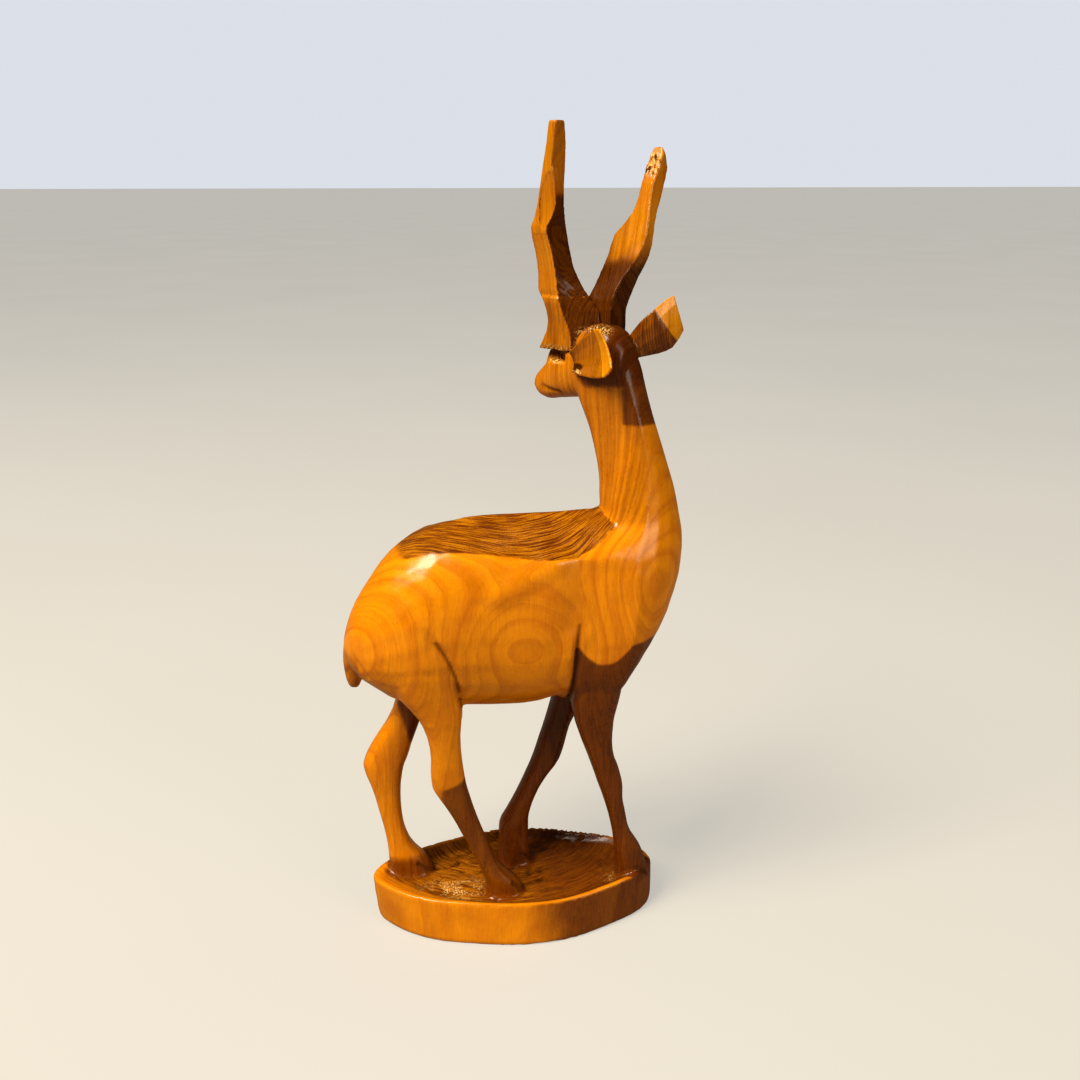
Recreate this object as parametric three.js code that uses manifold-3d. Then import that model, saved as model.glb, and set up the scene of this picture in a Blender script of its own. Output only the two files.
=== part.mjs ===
// A carved wooden antelope standing on an irregular base, looking back over its shoulder.
// Millimetres. +Z is up, +X runs from the rump to the chest, +Y is the animal's left side.
// The origin is on the table, under the middle of the base.
import * as THREE from "three";
import { LoftGeometry } from "three/addons/geometries/LoftGeometry.js";
import { mergeVertices } from "three/addons/utils/BufferGeometryUtils.js";
import Module from "manifold-3d";

const wasm = await Module();
wasm.setup();

// Driving dimensions.
const HEIGHT = 330; // table to the tip of the taller horn
const BASE_HEIGHT = 20;
const BASE_FLOOR = 15.8; // the sunk top face that the hooves stand on
const GLUE_GAP = 0.3; // clearance between a horn or ear and the block it is glued to

// The head is turned back over the animal's left shoulder.
const HEAD_X = 38;
const HEAD_Y = 2;
const HEAD_TURN = THREE.MathUtils.degToRad(127);

// The level floor of the rebate that each horn's foot is glued into.
const SEAT_Z = 247;

// Tenons: a square peg under each horn, a flat tongue on each ear. Both run a little way into
// their own piece, so that they join it.
const HORN_PEG = { width: 5, depth: 8 };
const PEG_LEFT = { s: 14, t: 4.2 };
const PEG_RIGHT = { s: 9, t: -4.6 };
const EAR_TONGUE = { width: 7, thick: 2, depth: 6 };
const TENON_OVERLAP = 2;

// How many rings each body is lofted through.
const RINGS = { trunk: 27, neck: 37, head: 19, tail: 9, leg: 30, ear: 13 };

// A closed geometry as a solid that can be joined and cut.
function solid(geometry) {
  const bare = new THREE.BufferGeometry();
  bare.setAttribute("position", geometry.getAttribute("position"));
  bare.setIndex(geometry.getIndex());
  const merged = mergeVertices(bare, 1e-4);
  return new wasm.Manifold(
    new wasm.Mesh({
      numProp: 3,
      vertProperties: merged.attributes.position.array,
      triVerts: new Uint32Array(merged.index.array),
    }),
  );
}

// A solid back as a geometry.
function geometryOf(manifold) {
  const mesh = manifold.getMesh();
  const geometry = new THREE.BufferGeometry();
  geometry.setAttribute("position", new THREE.BufferAttribute(mesh.vertProperties, mesh.numProp));
  geometry.setIndex(new THREE.BufferAttribute(mesh.triVerts, 1));
  geometry.computeVertexNormals();
  return geometry;
}

function named(name, manifold, colour, roughness) {
  const material = new THREE.MeshStandardMaterial({ color: colour, roughness, metalness: 0 });
  const mesh = new THREE.Mesh(geometryOf(manifold), material);
  mesh.name = name;
  return mesh;
}

// Evenly spaced stations along a list of given ones: every number follows a smooth curve.
function between(given, count) {
  const keys = Object.keys(given[0]);
  const places = Float32Array.from(given.keys());
  const values = Float32Array.from(given.flatMap((station) => keys.map((key) => station[key])));
  const curve = new THREE.CubicInterpolant(places, values, keys.length);
  const last = given.length - 1;
  return Array.from({ length: count }, (_, i) => {
    const row = curve.evaluate((i * last) / (count - 1));
    return Object.fromEntries(keys.map((key, k) => [key, row[k]]));
  });
}

// The points round a closed path, each of its curves split into the same number of steps.
function around(path, steps) {
  return path.curves.flatMap((curve) => curve.getPoints(steps).slice(0, -1));
}

// A body through the rings that a section function gives at each station.
function loft(stations, ringAt) {
  return solid(new LoftGeometry(stations.map(ringAt), { closed: true, capStart: true, capEnd: true }));
}

// ---------------------------------------------------------------------------------------------
// Trunk: sections across the body from the rump to inside the chest. The top slopes from the
// spine down to a ridge on each side, and the flanks swell out below the ridge.
const TRUNK = [
  { x: -67, top: 136, ridgeY: 1.5, ridgeZ: 135.5, wide: 3, wideZ: 133, low: 130 },
  { x: -65.8, top: 141, ridgeY: 3, ridgeZ: 140, wide: 8, wideZ: 131.5, low: 125 },
  { x: -62.6, top: 149, ridgeY: 4, ridgeZ: 147.8, wide: 13, wideZ: 132, low: 120.5 },
  { x: -56.4, top: 159, ridgeY: 5, ridgeZ: 158, wide: 18.4, wideZ: 134, low: 115.8 },
  { x: -49, top: 168.4, ridgeY: 6, ridgeZ: 167.6, wide: 22.2, wideZ: 137, low: 110 },
  { x: -41, top: 174.4, ridgeY: 8, ridgeZ: 173.6, wide: 24.8, wideZ: 140, low: 106.5 },
  { x: -31, top: 180, ridgeY: 13, ridgeZ: 177, wide: 26, wideZ: 142, low: 105 },
  { x: -18, top: 183.6, ridgeY: 17.5, ridgeZ: 176, wide: 25.8, wideZ: 142, low: 104.2 },
  { x: -5, top: 184.2, ridgeY: 20, ridgeZ: 173.6, wide: 25.6, wideZ: 141, low: 103 },
  { x: 8, top: 184, ridgeY: 22, ridgeZ: 171.6, wide: 25.8, wideZ: 140, low: 103 },
  { x: 20, top: 184, ridgeY: 22.5, ridgeZ: 170.6, wide: 24.6, wideZ: 140, low: 106 },
  { x: 32, top: 184.2, ridgeY: 18, ridgeZ: 175.5, wide: 23.4, wideZ: 140, low: 109 },
  { x: 38, top: 184.2, ridgeY: 14.6, ridgeZ: 179.8, wide: 21, wideZ: 140, low: 112 },
  { x: 43, top: 183, ridgeY: 11, ridgeZ: 181, wide: 19, wideZ: 140, low: 114 },
  { x: 50, top: 176, ridgeY: 8, ridgeZ: 174, wide: 16, wideZ: 140, low: 118 },
];

// How full the flank is above and below its widest line, how flat the belly is, how far the top
// slope rises over a straight line, and how far the flank falls away just below the ridge.
const FLANK_FULLNESS = 0.62;
const BELLY_FLATNESS = 0.6;
const SLOPE_RISE = 0.8;
const RIDGE_FALL = 2;
const TRUNK_STEPS = 6;

function trunkRing({ x, top, ridgeY, ridgeZ, wide, wideZ, low }) {
  const path = new THREE.Path();
  const slope = 0.5 * (top + ridgeZ) + SLOPE_RISE;
  const edgeY = 0.5 * (ridgeY + wide);
  const edgeZ = ridgeZ - RIDGE_FALL;
  const upper = wideZ + FLANK_FULLNESS * (ridgeZ - wideZ);
  const lower = wideZ - FLANK_FULLNESS * (wideZ - low);
  const belly = BELLY_FLATNESS * wide;
  path.moveTo(0, top);
  path.quadraticCurveTo(-0.5 * ridgeY, slope, -ridgeY, ridgeZ);
  path.bezierCurveTo(-edgeY, edgeZ, -wide, upper, -wide, wideZ);
  path.bezierCurveTo(-wide, lower, -belly, low, 0, low);
  path.bezierCurveTo(belly, low, wide, lower, wide, wideZ);
  path.bezierCurveTo(wide, upper, edgeY, edgeZ, ridgeY, ridgeZ);
  path.quadraticCurveTo(0.5 * ridgeY, slope, 0, top);
  return around(path, TRUNK_STEPS).map((p) => new THREE.Vector3(x, p.x, p.y));
}

// ---------------------------------------------------------------------------------------------
// Chest and neck: level sections from the brisket up into the head. Each has a rounded front, a
// ridge on each side near the front, a second ridge towards the back, and a narrow back edge.
const NECK = [
  { z: 104.5, front: 40, foreX: 35, foreY: 13, aftX: 27, aftY: 12, back: 18 },
  { z: 106.5, front: 42.5, foreX: 38, foreY: 16.5, aftX: 25, aftY: 15, back: 15 },
  { z: 111, front: 46.5, foreX: 41, foreY: 20, aftX: 23.4, aftY: 18.4, back: 12 },
  { z: 118, front: 52, foreX: 43, foreY: 22.6, aftX: 22.6, aftY: 21.4, back: 9 },
  { z: 128, front: 59.4, foreX: 45, foreY: 24, aftX: 22.4, aftY: 23, back: 8 },
  { z: 142, front: 66.8, foreX: 47, foreY: 24.2, aftX: 21, aftY: 22.6, back: 8 },
  { z: 156, front: 70.8, foreX: 48, foreY: 23.4, aftX: 19, aftY: 22.2, back: 8 },
  { z: 165, front: 71.6, foreX: 48, foreY: 22, aftX: 19.6, aftY: 21.8, back: 9 },
  { z: 170.5, front: 71.8, foreX: 48.5, foreY: 20.6, aftX: 22.5, aftY: 22.3, back: 13 },
  { z: 175.5, front: 71.4, foreX: 50, foreY: 18.6, aftX: 32, aftY: 18, back: 24 },
  { z: 181, front: 70.3, foreX: 52, foreY: 16.2, aftX: 40.5, aftY: 13.6, back: 36.5 },
  { z: 190, front: 68.2, foreX: 53, foreY: 14.3, aftX: 42.2, aftY: 12.5, back: 37.6 },
  { z: 198, front: 65.8, foreX: 53.2, foreY: 13.2, aftX: 43.7, aftY: 12, back: 37.2 },
  { z: 207, front: 62.8, foreX: 52.6, foreY: 12.4, aftX: 46.6, aftY: 11.6, back: 35.6 },
  { z: 216, front: 59.8, foreX: 51, foreY: 11.8, aftX: 48, aftY: 11.4, back: 33.4 },
  { z: 224, front: 57.2, foreX: 49, foreY: 11.2, aftX: 46.5, aftY: 11, back: 30.6 },
  { z: 232, front: 54.8, foreX: 47, foreY: 10.6, aftX: 43.5, aftY: 10.4, back: 27.6 },
  { z: 240, front: 52.8, foreX: 45, foreY: 9.6, aftX: 40, aftY: 9.4, back: 27 },
  { z: 250, front: 49.4, foreX: 43, foreY: 7, aftX: 38, aftY: 7, back: 30 },
];

// The rounded front's two curve handles, as shares of the fore ridge's reach to the side; the
// bulge of the side between the ridges; and the back edge's width as a share of the aft ridge's.
const FRONT_NEAR = 0.4;
const FRONT_FAR = 0.85;
const FRONT_FULLNESS = 0.62;
const SIDE_BULGE = 0.5;
const NAPE_WIDTH = 0.22;
const NAPE_ROUND = 0.6;
const NECK_STEPS = 5;

function neckRing({ z, front, foreX, foreY, aftX, aftY, back }) {
  const path = new THREE.Path();
  const cheek = foreX + FRONT_FULLNESS * (front - foreX);
  const near = FRONT_NEAR * foreY;
  const far = FRONT_FAR * foreY;
  const sideX = 0.5 * (foreX + aftX);
  const sideY = 0.5 * (foreY + aftY) + SIDE_BULGE;
  const nape = NAPE_WIDTH * aftY;
  const slopeX = 0.5 * (aftX + back);
  const slopeY = 0.5 * (aftY + nape);
  path.moveTo(front, 0);
  path.bezierCurveTo(front, near, cheek, far, foreX, foreY);
  path.quadraticCurveTo(sideX, sideY, aftX, aftY);
  path.quadraticCurveTo(slopeX, slopeY, back, nape);
  path.quadraticCurveTo(back - NAPE_ROUND, 0, back, -nape);
  path.quadraticCurveTo(slopeX, -slopeY, aftX, -aftY);
  path.quadraticCurveTo(sideX, -sideY, foreX, -foreY);
  path.bezierCurveTo(cheek, -far, front, -near, front, 0);
  return around(path, NECK_STEPS).map((p) => new THREE.Vector3(p.x, p.y, z));
}

// ---------------------------------------------------------------------------------------------
// Head, in its own frame: s runs forward along the face, t towards the head's left, z up.
const HEAD = [
  { s: -12.6, half: 4.6, top: 249, low: 239.5 },
  { s: -9.4, half: 7.8, top: 254.6, low: 235 },
  { s: -4, half: 9.8, top: 257.4, low: 231 },
  { s: 4, half: 10.8, top: 257.4, low: 229 },
  { s: 12, half: 10.4, top: 254, low: 227.6 },
  { s: 18, half: 9.2, top: 251.5, low: 226.6 },
  { s: 22.5, half: 7.8, top: 248, low: 225.8 },
  { s: 25.5, half: 6.4, top: 241.8, low: 225.2 },
  { s: 30, half: 5, top: 237.5, low: 226.2 },
  { s: 33, half: 3.4, top: 234.5, low: 228.4 },
];

// Where the head is widest between its underside and its top, and how square its cheeks are.
const CHEEK_LEVEL = 0.45;
const CROWN_SQUARE = 0.7;
const JAW_SQUARE = 0.8;
const HEAD_STEPS = 6;

function headRing({ s, half, top, low }) {
  const path = new THREE.Path();
  const middle = low + CHEEK_LEVEL * (top - low);
  const upper = middle + CROWN_SQUARE * (top - middle);
  const lower = 0.5 * (middle + low);
  path.moveTo(0, top);
  path.bezierCurveTo(-CROWN_SQUARE * half, top, -half, upper, -half, middle);
  path.bezierCurveTo(-half, lower, -JAW_SQUARE * half, low, 0, low);
  path.bezierCurveTo(JAW_SQUARE * half, low, half, lower, half, middle);
  path.bezierCurveTo(half, upper, CROWN_SQUARE * half, top, 0, top);
  return around(path, HEAD_STEPS).map((p) => new THREE.Vector3(s, p.x, p.y));
}

// From the head's frame to the part's.
const headPlace = new THREE.Matrix4()
  .makeTranslation(HEAD_X, HEAD_Y, 0)
  .multiply(new THREE.Matrix4().makeRotationZ(HEAD_TURN));

function placed(manifold) {
  return manifold.transform(headPlace.elements);
}

// The eye: a slot cut in under the brow, open at the side of the face.
const EYE = { s: 18.2, t: 10.2, z: 244.6, long: 14.5, deep: 6.2, high: 4.4, tilt: 5 };

function eyeCut(side) {
  const wedge = new THREE.BoxGeometry(EYE.long, EYE.deep, EYE.high);
  wedge.rotateY(THREE.MathUtils.degToRad(EYE.tilt));
  wedge.translate(EYE.s, side * EYE.t, EYE.z);
  return solid(wedge);
}

// ---------------------------------------------------------------------------------------------
// Horns, in the head's frame. Each section has an outer face between front and rear, and an inner
// face that ends at back.
const HORN_LEFT = [
  { z: SEAT_Z, outer: 10.8, front: 24.4, rear: 7.4, inner: 0.2, back: 0.6 },
  { z: 250, outer: 10.5, front: 22.8, rear: 7.6, inner: 0.2, back: 0.6 },
  { z: 254, outer: 10.3, front: 20.8, rear: 8.4, inner: 0.2, back: 0.8 },
  { z: 258, outer: 10.4, front: 20, rear: 10, inner: 0.2, back: 1.2 },
  { z: 262, outer: 10.7, front: 20.8, rear: 12, inner: 0.2, back: 2 },
  { z: 266, outer: 11, front: 22.4, rear: 13.5, inner: 0.2, back: 6 },
  { z: 269.6, outer: 11.6, front: 24.4, rear: 14.2, inner: 0.4, back: 9.4 },
  { z: 274, outer: 11.8, front: 24, rear: 14.6, inner: 0.6, back: 12.6 },
  { z: 278.5, outer: 12.2, front: 24.1, rear: 15, inner: 1.2, back: 14.6 },
  { z: 284, outer: 13, front: 24.6, rear: 15.6, inner: 2.2, back: 15.4 },
  { z: 289, outer: 14, front: 25.3, rear: 16.6, inner: 2.6, back: 16.2 },
  { z: 293, outer: 14.6, front: 25, rear: 16.6, inner: 3.4, back: 16.4 },
  { z: 296.5, outer: 14.4, front: 23.4, rear: 14.2, inner: 6.4, back: 14.4 },
  { z: 301, outer: 14.6, front: 21.8, rear: 12, inner: 8.6, back: 13 },
  { z: 307, outer: 15, front: 20.2, rear: 12.2, inner: 8.6, back: 13 },
  { z: 314.5, outer: 15.4, front: 18.4, rear: 13.4, inner: 7.6, back: 13.4 },
  { z: 323, outer: 16, front: 16, rear: 11.7, inner: 9.2, back: 11.8 },
  { z: HEIGHT, outer: 16.4, front: 14.6, rear: 10.4, inner: 11.4, back: 10.6 },
];
const HORN_RIGHT = [
  { z: SEAT_Z, outer: -10.8, front: 23, rear: -2, inner: -0.2, back: -3 },
  { z: 252, outer: -10.6, front: 20.5, rear: -2.4, inner: -0.2, back: -3 },
  { z: 257, outer: -10.2, front: 16.5, rear: -2.8, inner: -0.2, back: -3 },
  { z: 262, outer: -10, front: 12.5, rear: -3, inner: -0.2, back: -2.8 },
  { z: 266, outer: -11.2, front: 10, rear: -3.6, inner: -0.9, back: -3 },
  { z: 270, outer: -12.6, front: 8.4, rear: -4.4, inner: -2.5, back: -3.8 },
  { z: 274, outer: -13.8, front: 7.6, rear: -5.6, inner: -4.5, back: -5 },
  { z: 278, outer: -14.6, front: 7, rear: -7.6, inner: -6.5, back: -7.2 },
  { z: 282, outer: -15.1, front: 6, rear: -9.4, inner: -8, back: -9.2 },
  { z: 286, outer: -15.4, front: 5.8, rear: -10.4, inner: -9.5, back: -10.4 },
  { z: 289.8, outer: -15.6, front: 5, rear: -10.8, inner: -10.6, back: -10.9 },
  { z: 294.5, outer: -16.6, front: 0.8, rear: -10.6, inner: -12, back: -10.6 },
  { z: 298.5, outer: -18.4, front: -1.9, rear: -10.2, inner: -13, back: -10.2 },
  { z: 303, outer: -21, front: -3, rear: -9.8, inner: -14.3, back: -9.6 },
  { z: 309, outer: -23.4, front: -3.3, rear: -9.6, inner: -16, back: -9.4 },
  { z: 314, outer: -24.2, front: -3.6, rear: -10, inner: -17, back: -9.9 },
  { z: 318.6, outer: -22.6, front: -4.6, rear: -10.2, inner: -17.4, back: -10.1 },
  { z: 321.4, outer: -21.4, front: -6, rear: -9.4, inner: -18.4, back: -9.3 },
];
// The broken tip of the right horn: the two slanting planes it snapped along.
const SNAPS = [
  { s: -3.4, t: -18.4, z: 320.4, size: 16, lean: 33, turn: 34 },
  { s: -7, t: -19.2, z: 316.5, size: 16, lean: 70, turn: 95 },
];

// The bevel along the front edge, and how far the outer and rear faces swell.
const HORN_BEVEL = 0.8;
const OUTER_SWELL = 0.5;
const REAR_SWELL = 0.4;
const HORN_STEPS = 3;

function hornRing({ z, outer, front, rear, inner, back }) {
  const away = Math.sign(outer - inner);
  const bevelled = outer - HORN_BEVEL * away;
  const path = new THREE.Path();
  path.moveTo(front, bevelled);
  path.lineTo(front - HORN_BEVEL, outer);
  path.quadraticCurveTo(0.5 * (front + rear), outer + OUTER_SWELL * away, rear, outer);
  path.quadraticCurveTo(0.5 * (rear + back) - REAR_SWELL, 0.5 * (outer + inner), back, inner);
  path.lineTo(front - HORN_BEVEL, inner);
  path.lineTo(front, bevelled);
  return around(path, HORN_STEPS).map((p) => new THREE.Vector3(p.x, p.y, z));
}

function hornShaft(stations) {
  const leftSide = stations[0].outer > 0;
  return loft(stations, (station) => {
    const ring = hornRing(station);
    return leftSide ? ring : ring.reverse();
  });
}

// The same horn grown on every side by the given room, to cut its rebate.
function grown(stations, room) {
  const out = room * Math.sign(stations[0].outer);
  return stations.map(({ z, outer, front, rear, inner, back }, i) => ({
    z: i === 0 ? z - room : z,
    outer: outer + out,
    front: front + room,
    rear: rear - room,
    inner: inner - out,
    back: back - room,
  }));
}

// A square peg under a horn's foot, grown on every side by the given room.
function hornPeg({ s, t }, room) {
  const width = HORN_PEG.width + 2 * room;
  const peg = new THREE.BoxGeometry(width, width, HORN_PEG.depth + TENON_OVERLAP + room);
  peg.translate(s, t, SEAT_Z - 0.5 * (HORN_PEG.depth - TENON_OVERLAP + room));
  return solid(peg);
}

function horn(stations, peg) {
  return hornShaft(stations).add(hornPeg(peg, 0));
}

// What lies beyond one plane that the right horn's tip snapped along.
function snappedOff({ s, t, z, size, lean, turn }) {
  const block = new THREE.BoxGeometry(size, size, size);
  block.translate(0, 0, 0.5 * size);
  block.rotateY(THREE.MathUtils.degToRad(lean));
  block.rotateZ(THREE.MathUtils.degToRad(turn));
  block.translate(s, t, z);
  return solid(block);
}

function snappedHorn() {
  return SNAPS.reduce((left, plane) => left.subtract(snappedOff(plane)), horn(HORN_RIGHT, PEG_RIGHT));
}

// ---------------------------------------------------------------------------------------------
// Ears: a leaf that widens from its root to a cut end, scooped on the front, with a flat tongue.
// s, t and z place the root; turn, rise and roll aim the ear, in degrees; tongueDip is how far the
// tongue points out of the ear's back instead of straight on from its root; slant skews its end.
const EAR_LEFT = {
  s: 4.6,
  t: 12.8,
  z: 243.8,
  turn: 178,
  rise: 19,
  roll: 84,
  tongueDip: 80,
  slant: -0.2,
  long: 21.5,
  wide: 17.4,
  thick: 3.6,
};
const EAR_RIGHT = {
  s: -7.5,
  t: -9,
  z: 248,
  turn: 212,
  rise: 34,
  roll: -70,
  tongueDip: 0,
  slant: -0.3,
  long: 21.4,
  wide: 16.4,
  thick: 3.6,
};
// How an ear's width and thickness change from the root to the end, as shares of the full size.
const EAR_SHAPE = [
  { along: -0.06, across: 0.5, deep: 1.1, lift: 0 },
  { along: 0.15, across: 0.74, deep: 1.1, lift: -0.2 },
  { along: 0.4, across: 0.98, deep: 1, lift: -0.3 },
  { along: 0.62, across: 1.06, deep: 0.95, lift: -0.1 },
  { along: 0.65, across: 1.06, deep: 0.93, lift: 0.2 },
  { along: 0.74, across: 1.04, deep: 0.9, lift: 1.4 },
  { along: 0.86, across: 1, deep: 0.85, lift: 3 },
  { along: 1, across: 0.88, deep: 0.75, lift: 4.9 },
];
// The rounded edge of the leaf, how deep its scoop goes into its thickness, and how square its
// back is.
const EAR_EDGE = 0.8;
const EAR_SCOOP = 0.8;
const EAR_BACK_SQUARE = 0.7;
const EAR_STEPS = 4;
const TONGUE_SET = 0.7; // how far back in the leaf's thickness the tongue starts

// From an ear's own frame (x along it, y across it, z out of its front) to the part's.
function earPlace({ s, t, z, turn, rise, roll }) {
  const rad = THREE.MathUtils.degToRad;
  const place = headPlace.clone();
  place.multiply(new THREE.Matrix4().makeTranslation(s, t, z));
  place.multiply(new THREE.Matrix4().makeRotationZ(rad(turn)));
  place.multiply(new THREE.Matrix4().makeRotationY(-rad(rise)));
  place.multiply(new THREE.Matrix4().makeRotationX(rad(roll)));
  return place;
}

function earTongue({ tongueDip, thick }, room) {
  const rad = THREE.MathUtils.degToRad(tongueDip);
  const sunk = TENON_OVERLAP * Math.sin(rad);
  const rootX = EAR_TONGUE.thick * Math.sin(rad);
  const length = EAR_TONGUE.depth + TENON_OVERLAP + 2 * room;
  const width = EAR_TONGUE.width + 2 * room;
  const tongue = new THREE.BoxGeometry(length, width, EAR_TONGUE.thick + 2 * room);
  tongue.translate(TENON_OVERLAP - 0.5 * (EAR_TONGUE.depth + TENON_OVERLAP), 0, 0);
  tongue.rotateY(-rad);
  tongue.translate(rootX, 0, -TONGUE_SET * thick - sunk);
  return solid(tongue);
}

// The leaf, grown on every side by the given room to cut the block clear of it.
function earLeaf(size, room) {
  const leaf = (station) => {
    const half = 0.5 * size.wide * station.across + room;
    const deep = size.thick * station.deep;
    const front = station.lift + room;
    const edge = front - EAR_EDGE;
    const back = station.lift - deep - room;
    const square = EAR_BACK_SQUARE * half;
    const path = new THREE.Path();
    path.moveTo(half, edge);
    path.quadraticCurveTo(half, front, half - EAR_EDGE, front);
    path.quadraticCurveTo(0, front - EAR_SCOOP * deep, EAR_EDGE - half, front);
    path.quadraticCurveTo(-half, front, -half, edge);
    path.bezierCurveTo(-square, back, square, back, half, edge);
    const skew = size.slant * station.along ** 2;
    const along = station.along * size.long;
    return around(path, EAR_STEPS).map((p) => new THREE.Vector3(along + skew * p.x, p.x, p.y));
  };
  return loft(between(EAR_SHAPE, RINGS.ear), leaf);
}

function ear(size, room) {
  return earLeaf(size, room).add(earTongue(size, room)).transform(earPlace(size).elements);
}

// ---------------------------------------------------------------------------------------------
// Legs: level sections, each from its hind edge to its fore edge, centred sideways on y. A leg is
// widest halfway between the edges, or at the given share of the way forward from its hind edge.
const HIND_RIGHT = [
  { z: 12, hind: -13, fore: 2.5, y: -10.5, wide: 12, widest: 0.5 },
  { z: 19, hind: -13.4, fore: 2.2, y: -10.5, wide: 12, widest: 0.5 },
  { z: 24, hind: -14, fore: -2, y: -10.5, wide: 11.5, widest: 0.5 },
  { z: 32, hind: -17, fore: -8.2, y: -10.6, wide: 10, widest: 0.5 },
  { z: 42, hind: -21, fore: -12, y: -10.8, wide: 9.6, widest: 0.5 },
  { z: 52, hind: -25.2, fore: -15.6, y: -11, wide: 9.8, widest: 0.5 },
  { z: 60, hind: -29, fore: -18, y: -11.2, wide: 10.4, widest: 0.5 },
  { z: 67, hind: -33, fore: -19.8, y: -11.4, wide: 11, widest: 0.5 },
  { z: 73, hind: -35.4, fore: -21, y: -11.6, wide: 11.4, widest: 0.5 },
  { z: 86, hind: -35.2, fore: -22.6, y: -12, wide: 12.4, widest: 0.5 },
  { z: 97, hind: -37, fore: -22.8, y: -12.4, wide: 14, widest: 0.54 },
  { z: 106, hind: -41, fore: -21.8, y: -12.6, wide: 16.5, widest: 0.62 },
  { z: 115, hind: -48, fore: -22.4, y: -12.2, wide: 19.6, widest: 0.72 },
  { z: 126, hind: -52, fore: -25.4, y: -12, wide: 24, widest: 0.76 },
  { z: 136, hind: -52, fore: -30, y: -12, wide: 24.6, widest: 0.76 },
  { z: 146, hind: -50, fore: -36, y: -12, wide: 20, widest: 0.76 },
];
const HIND_LEFT = [
  { z: 12, hind: -53, fore: -34.5, y: 11.5, wide: 12 },
  { z: 19, hind: -53.2, fore: -34.5, y: 11.5, wide: 12 },
  { z: 24, hind: -53.4, fore: -37.5, y: 11.5, wide: 11.5 },
  { z: 31, hind: -53.8, fore: -43, y: 11.5, wide: 10.4 },
  { z: 40, hind: -55, fore: -46, y: 11.5, wide: 9.8 },
  { z: 50, hind: -57, fore: -47, y: 11.5, wide: 9.8 },
  { z: 60, hind: -59.2, fore: -46.8, y: 11.5, wide: 10.4 },
  { z: 70, hind: -62.2, fore: -45, y: 11.5, wide: 11.4 },
  { z: 75, hind: -61.4, fore: -43, y: 11.6, wide: 11.6 },
  { z: 82, hind: -57.6, fore: -40.8, y: 11.8, wide: 12 },
  { z: 92, hind: -50.6, fore: -37, y: 12, wide: 13.4 },
  { z: 103, hind: -46.6, fore: -33, y: 12.2, wide: 16 },
  { z: 112, hind: -47, fore: -30, y: 12.2, wide: 19 },
  { z: 124, hind: -51, fore: -30, y: 12, wide: 22.4 },
  { z: 136, hind: -52, fore: -32, y: 12, wide: 23 },
  { z: 146, hind: -50, fore: -36, y: 12, wide: 20 },
];
const FORE_RIGHT = [
  { z: 12, hind: 45, fore: 58.6, y: -8.6, wide: 11 },
  { z: 19, hind: 45, fore: 59.2, y: -8.6, wide: 11 },
  { z: 24, hind: 44.8, fore: 58.2, y: -9, wide: 11 },
  { z: 32, hind: 44, fore: 55, y: -10, wide: 10.6 },
  { z: 40, hind: 42.8, fore: 50.4, y: -10.2, wide: 9.6 },
  { z: 49, hind: 40.8, fore: 48.2, y: -10.4, wide: 9.6 },
  { z: 57, hind: 38.4, fore: 46.6, y: -10.6, wide: 10 },
  { z: 64, hind: 36, fore: 46.4, y: -10.8, wide: 10.8 },
  { z: 72, hind: 33.4, fore: 44.4, y: -11, wide: 11.2 },
  { z: 80, hind: 30.6, fore: 41.8, y: -11.2, wide: 12 },
  { z: 90, hind: 27, fore: 41.2, y: -11.4, wide: 13 },
  { z: 99, hind: 24.4, fore: 42, y: -11.8, wide: 15 },
  { z: 108, hind: 23, fore: 44, y: -12, wide: 17 },
  { z: 118, hind: 23, fore: 45, y: -12, wide: 18 },
  { z: 126, hind: 25, fore: 44, y: -12, wide: 18 },
];
const FORE_LEFT = [
  { z: 12, hind: -4.6, fore: 9.6, y: 11, wide: 12 },
  { z: 19, hind: -4.6, fore: 9.6, y: 11, wide: 12 },
  { z: 28, hind: -4.2, fore: 9.2, y: 11, wide: 11.4 },
  { z: 36, hind: -3.6, fore: 9.4, y: 11, wide: 10.6 },
  { z: 41, hind: -1, fore: 9.8, y: 11, wide: 10 },
  { z: 50, hind: 4, fore: 12.6, y: 11, wide: 9.8 },
  { z: 58, hind: 7.6, fore: 17, y: 11, wide: 10 },
  { z: 66, hind: 11, fore: 23, y: 11.2, wide: 10.8 },
  { z: 74, hind: 13.8, fore: 25.8, y: 11.4, wide: 11.2 },
  { z: 84, hind: 17, fore: 28.4, y: 11.6, wide: 12.4 },
  { z: 95, hind: 20.2, fore: 34, y: 11.8, wide: 14.4 },
  { z: 106, hind: 21.6, fore: 40, y: 12, wide: 17 },
  { z: 118, hind: 23, fore: 44, y: 12, wide: 18 },
  { z: 126, hind: 25, fore: 44, y: 12, wide: 18 },
];

// How square a leg's section is: 0.55 would be round.
const LEG_SQUARE = 0.72;
const LEG_STEPS = 4;

function legRing({ z, hind, fore, y, wide, widest = 0.5 }) {
  const middle = hind + widest * (fore - hind);
  const reach = middle + LEG_SQUARE * (fore - middle);
  const trail = middle - LEG_SQUARE * (middle - hind);
  const left = y + 0.5 * wide;
  const right = y - 0.5 * wide;
  const leftward = y + LEG_SQUARE * 0.5 * wide;
  const rightward = y - LEG_SQUARE * 0.5 * wide;
  const path = new THREE.Path();
  path.moveTo(fore, y);
  path.bezierCurveTo(fore, leftward, reach, left, middle, left);
  path.bezierCurveTo(trail, left, hind, leftward, hind, y);
  path.bezierCurveTo(hind, rightward, trail, right, middle, right);
  path.bezierCurveTo(reach, right, fore, rightward, fore, y);
  return around(path, LEG_STEPS).map((p) => new THREE.Vector3(p.x, p.y, z));
}

function leg(stations) {
  return loft(between(stations, RINGS.leg), legRing);
}

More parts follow.
